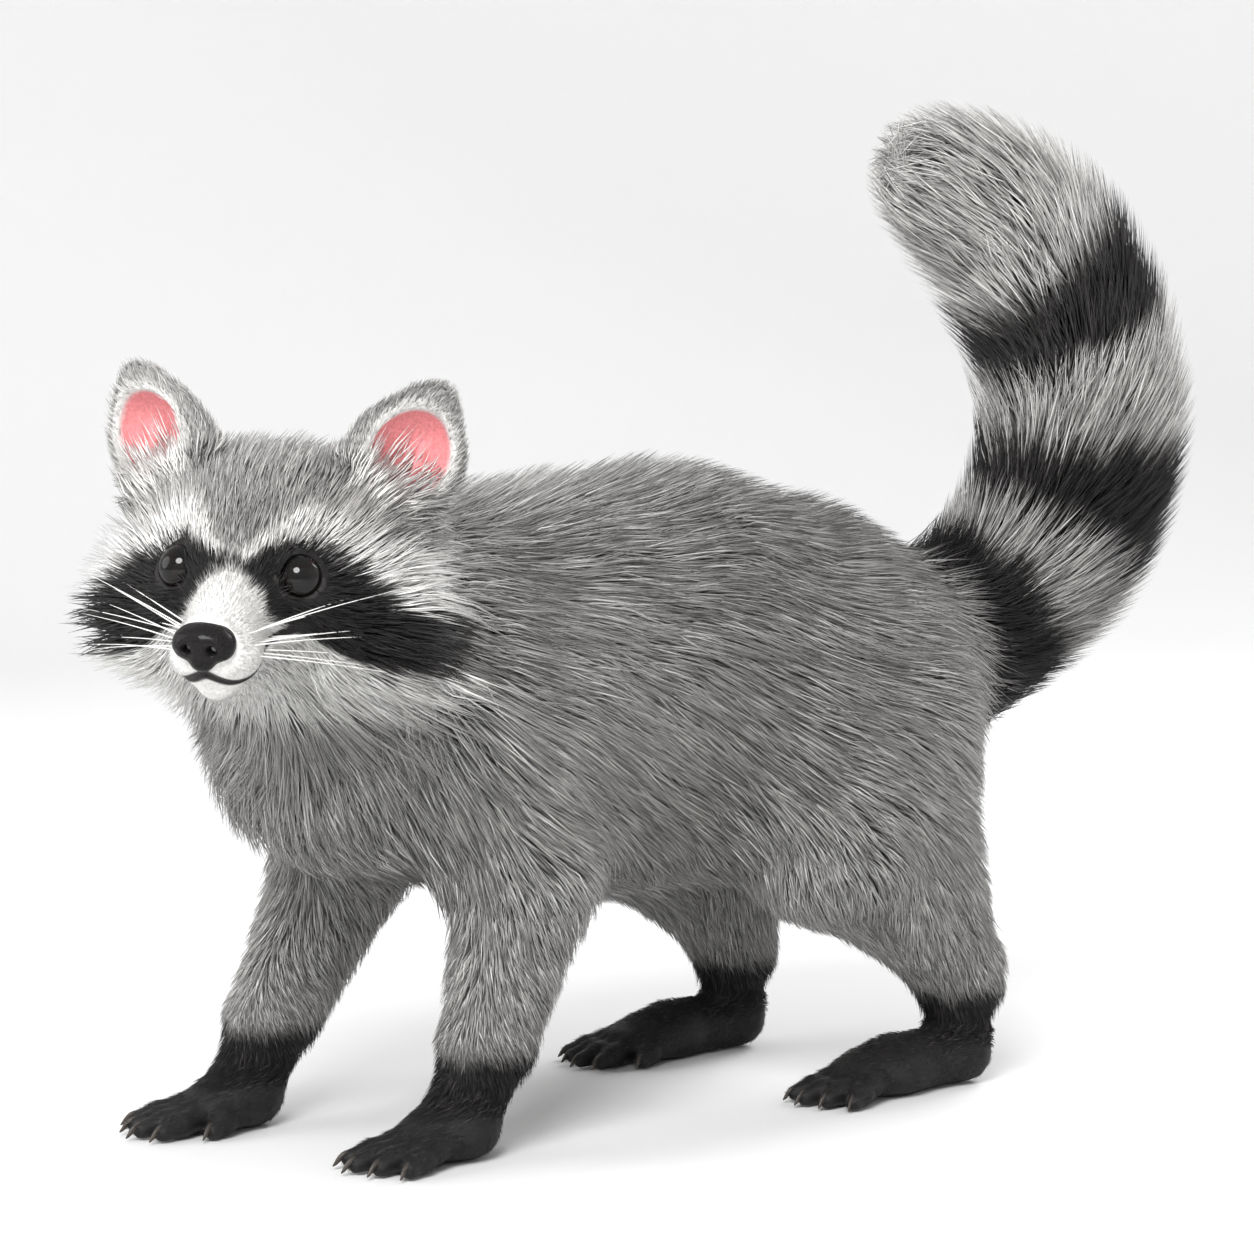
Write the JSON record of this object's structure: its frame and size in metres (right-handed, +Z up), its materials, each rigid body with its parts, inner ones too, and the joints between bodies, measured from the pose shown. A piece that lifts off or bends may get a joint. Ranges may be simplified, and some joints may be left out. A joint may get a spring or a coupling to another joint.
{
  "type": "raccoon model",
  "caption": "Still, life-size model of a standing raccoon, head turned to its left and ringed tail raised, that rests on the floor on four flat soles.",
  "frame": {"origin": "on the floor, below the middle of the whole animal's bounding box", "axes": "+Z up, the animal faces -Y, and +X is on its left side"},
  "size_m": [0.2146, 0.5974, 0.4477],
  "materials": {
    "coat": "thick grizzled grey fur",
    "pale_coat": "short white fur",
    "dark_coat": "short black fur over bare pads",
    "nose": "moist black skin",
    "eye": "glossy, very dark brown, opaque"
  },
  "bodies": {
    "root": {"head": "coat", "muzzle": "pale_coat", "nose": "nose", "ear_left": "coat", "ear_right": "coat", "eye_left": "eye", "eye_right": "eye", "neck": "coat", "trunk": "coat", "tail_base": "coat", "tail_middle": "coat", "tail_tip": "coat", "front_left_leg": "coat", "front_right_leg": "coat", "hind_left_leg": "coat", "hind_right_leg": "coat", "front_left_paw": "dark_coat", "front_right_paw": "dark_coat", "hind_left_paw": "dark_coat", "hind_right_paw": "dark_coat"}
  },
  "joints": []
}
